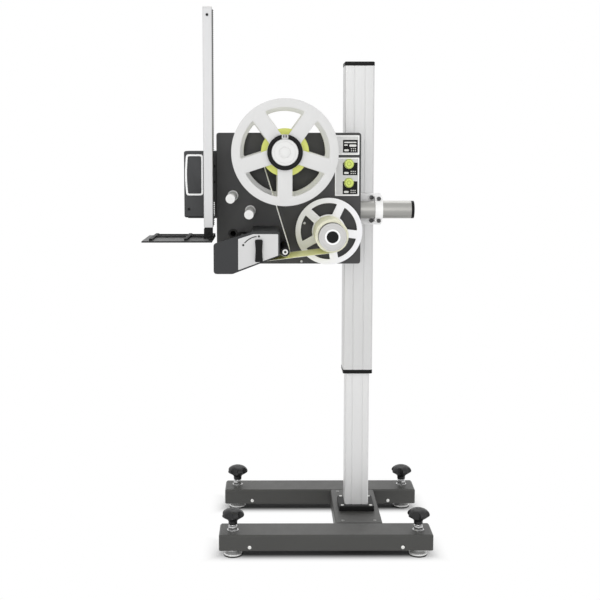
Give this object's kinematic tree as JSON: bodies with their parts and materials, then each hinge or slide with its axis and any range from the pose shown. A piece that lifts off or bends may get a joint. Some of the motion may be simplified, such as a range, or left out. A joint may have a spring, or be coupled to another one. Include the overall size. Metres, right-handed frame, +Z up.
{
  "type": "label applicator",
  "caption": "Label applicator: spoked label reel, liner rewinder, dispensing head and vertical tamp axis on a telescopic column with an H-shaped base on jack feet.",
  "frame": {"origin": "on the floor under the middle of the object's outline", "axes": "+Z up, the reels and the operator's side towards -Y, the tamp pad towards -X"},
  "size_m": [0.7926, 0.609, 1.514],
  "materials": {
    "dark_paint": "satin dark grey paint",
    "black_anodised": "black anodised, satin",
    "black_plastic": "black moulded plastic",
    "housing": "dark grey housing, fine grain",
    "aluminium": "clear anodised aluminium",
    "steel": "bright steel",
    "reel_plastic": "light grey plastic",
    "lime_label": "lime label material",
    "lime_button": "lime push-button",
    "silver_panel": "silver printed plate",
    "rubber": "black rubber"
  },
  "bodies": {
    "stand": {"front_leg": "dark_paint", "rear_leg": "dark_paint", "cross_member": "dark_paint", "column_foot_plate": "black_plastic", "inner_column": "aluminium"},
    "lift": {"outer_column": "aluminium", "column_top_cap": "black_plastic", "column_collar": "black_plastic", "clamp_bracket": "aluminium", "clamp_cap_left": "aluminium", "clamp_cap_right": "aluminium"},
    "boom": {"boom_tube": "steel", "boom_end_cap": "black_plastic"},
    "head": {"main_plate": "black_anodised", "boom_hub": "aluminium", "rear_cover": "housing", "belt_cover": "housing", "drive_motor": "steel", "unwind_spindle": "steel", "carrier_web": "lime_label", "dispenser_box": "housing", "dispenser_cover": "housing", "dispenser_panel": "silver_panel", "peel_plate": "steel", "control_plate_upper": "silver_panel", "control_plate_lower": "silver_panel", "axis_bracket": "black_anodised", "axis_drive_box": "housing", "axis_cover_frame": "reel_plastic"},
    "unwind_reel": {"reel_core": "reel_plastic", "reel_rear_flange": "reel_plastic", "reel_front_flange": "reel_plastic", "label_roll": "lime_label", "hub_ring": "black_plastic", "hub_cap": "reel_plastic"},
    "rewind_reel": {"rewind_mandrel": "reel_plastic", "rewind_flange": "reel_plastic", "liner_roll": "lime_label"},
    "deflection_roller": {"deflection_roller": "steel"},
    "drive_roller": {"drive_roller": "rubber"},
    "idle_roller_upper": {"idle_roller_upper": "steel"},
    "idle_roller_lower": {"idle_roller_lower": "steel"},
    "release_lever": {"release_lever": "black_plastic"},
    "button_upper": {"button_upper": "lime_button"},
    "button_lower": {"button_lower": "lime_button"},
    "tamp": {"tamp_rail": "aluminium", "rail_foot": "black_plastic", "tamp_pad": "black_plastic"},
    "wheel_front_left": {"wheel_front_left": "rubber"},
    "foot_front_left": {"foot_front_left": "steel"},
    "jack_front_left": {"jack_front_left": "black_plastic"},
    "wheel_front_right": {"wheel_front_right": "rubber"},
    "foot_front_right": {"foot_front_right": "steel"},
    "jack_front_right": {"jack_front_right": "black_plastic"},
    "wheel_rear_left": {"wheel_rear_left": "rubber"},
    "foot_rear_left": {"foot_rear_left": "steel"},
    "jack_rear_left": {"jack_rear_left": "black_plastic"},
    "wheel_rear_right": {"wheel_rear_right": "rubber"},
    "foot_rear_right": {"foot_rear_right": "steel"},
    "jack_rear_right": {"jack_rear_right": "black_plastic"}
  },
  "joints": [
    {"name": "column_lift", "type": "slide", "parent": "stand", "child": "lift", "axis": [0, 0, 1], "range_m": [-0.3, 0.1]},
    {"name": "boom_slide", "type": "slide", "parent": "lift", "child": "boom", "axis": [1, 0, 0], "range_m": [-0.08, 0.03]},
    {"name": "head_tilt", "type": "hinge", "parent": "boom", "child": "head", "pos_m": [0.07125, -0.0365, 0.972], "axis": [1, 0, 0], "range_deg": [-15, 15]},
    {"name": "unwind_spin", "type": "hinge", "parent": "head", "child": "unwind_reel", "pos_m": [-0.02045, -0.0815, 1.136], "axis": [0, -1, 0], "continuous": true},
    {"name": "rewind_spin", "type": "hinge", "parent": "head", "child": "rewind_reel", "pos_m": [0.10375, -0.0815, 0.916], "axis": [0, -1, 0], "continuous": true},
    {"name": "deflection_spin", "type": "hinge", "parent": "head", "child": "deflection_roller", "pos_m": [-0.01975, -0.0815, 0.8744], "axis": [0, -1, 0], "continuous": true},
    {"name": "drive_spin", "type": "hinge", "parent": "head", "child": "drive_roller", "pos_m": [-0.06575, -0.0815, 0.868], "axis": [0, -1, 0], "continuous": true},
    {"name": "idle_upper_spin", "type": "hinge", "parent": "head", "child": "idle_roller_upper", "pos_m": [-0.16435, -0.0815, 1.0138], "axis": [0, -1, 0], "continuous": true},
    {"name": "idle_lower_spin", "type": "hinge", "parent": "head", "child": "idle_roller_lower", "pos_m": [-0.11555, -0.0815, 0.9719], "axis": [0, -1, 0], "continuous": true},
    {"name": "lever_swing", "type": "hinge", "parent": "head", "child": "release_lever", "pos_m": [-0.08905, -0.0815, 0.8677], "axis": [0, -1, 0], "range_deg": [0, 58]},
    {"name": "button_upper_press", "type": "slide", "parent": "head", "child": "button_upper", "axis": [0, 1, 0], "range_m": [0, 0.003], "stiffness_N_per_m": 400},
    {"name": "button_lower_press", "type": "slide", "parent": "head", "child": "button_lower", "axis": [0, 1, 0], "range_m": [0, 0.003], "stiffness_N_per_m": 400},
    {"name": "tamp_stroke", "type": "slide", "parent": "head", "child": "tamp", "axis": [0, 0, 1], "range_m": [-0.3, 0.02]},
    {"name": "wheel_front_left_spin", "type": "hinge", "parent": "stand", "child": "wheel_front_left", "pos_m": [-0.11775, -0.1465, 0.038], "axis": [0, 1, 0], "continuous": true},
    {"name": "foot_front_left_level", "type": "slide", "parent": "stand", "child": "foot_front_left", "axis": [0, 0, 1], "range_m": [0, 0.02]},
    {"name": "jack_front_left_turn", "type": "hinge", "parent": "foot_front_left", "child": "jack_front_left", "pos_m": [-0.16575, -0.1535, 0.1], "axis": [0, 0, 1], "range_deg": [0, 3600]},
    {"name": "wheel_front_right_spin", "type": "hinge", "parent": "stand", "child": "wheel_front_right", "pos_m": [0.31025, -0.1465, 0.038], "axis": [0, 1, 0], "continuous": true},
    {"name": "foot_front_right_level", "type": "slide", "parent": "stand", "child": "foot_front_right", "axis": [0, 0, 1], "range_m": [0, 0.02]},
    {"name": "jack_front_right_turn", "type": "hinge", "parent": "foot_front_right", "child": "jack_front_right", "pos_m": [0.35825, -0.1535, 0.1], "axis": [0, 0, 1], "range_deg": [0, 3600]},
    {"name": "wheel_rear_left_spin", "type": "hinge", "parent": "stand", "child": "wheel_rear_left", "pos_m": [-0.11775, 0.2535, 0.038], "axis": [0, 1, 0], "continuous": true},
    {"name": "foot_rear_left_level", "type": "slide", "parent": "stand", "child": "foot_rear_left", "axis": [0, 0, 1], "range_m": [0, 0.02]},
    {"name": "jack_rear_left_turn", "type": "hinge", "parent": "foot_rear_left", "child": "jack_rear_left", "pos_m": [-0.16575, 0.2605, 0.1], "axis": [0, 0, 1], "range_deg": [0, 3600]},
    {"name": "wheel_rear_right_spin", "type": "hinge", "parent": "stand", "child": "wheel_rear_right", "pos_m": [0.31025, 0.2535, 0.038], "axis": [0, 1, 0], "continuous": true},
    {"name": "foot_rear_right_level", "type": "slide", "parent": "stand", "child": "foot_rear_right", "axis": [0, 0, 1], "range_m": [0, 0.02]},
    {"name": "jack_rear_right_turn", "type": "hinge", "parent": "foot_rear_right", "child": "jack_rear_right", "pos_m": [0.35825, 0.2605, 0.1], "axis": [0, 0, 1], "range_deg": [0, 3600]}
  ],
  "couplings": [
    {"joint": "rewind_spin", "follows": "unwind_spin", "ratio": 1.4318},
    {"joint": "deflection_spin", "follows": "unwind_spin", "ratio": -5.25},
    {"joint": "drive_spin", "follows": "unwind_spin", "ratio": 3.7059},
    {"joint": "jack_front_left_turn", "follows": "foot_front_left_level", "rad_per_m": 3141.6},
    {"joint": "jack_front_right_turn", "follows": "foot_front_right_level", "rad_per_m": 3141.6},
    {"joint": "jack_rear_left_turn", "follows": "foot_rear_left_level", "rad_per_m": 3141.6},
    {"joint": "jack_rear_right_turn", "follows": "foot_rear_right_level", "rad_per_m": 3141.6}
  ]
}
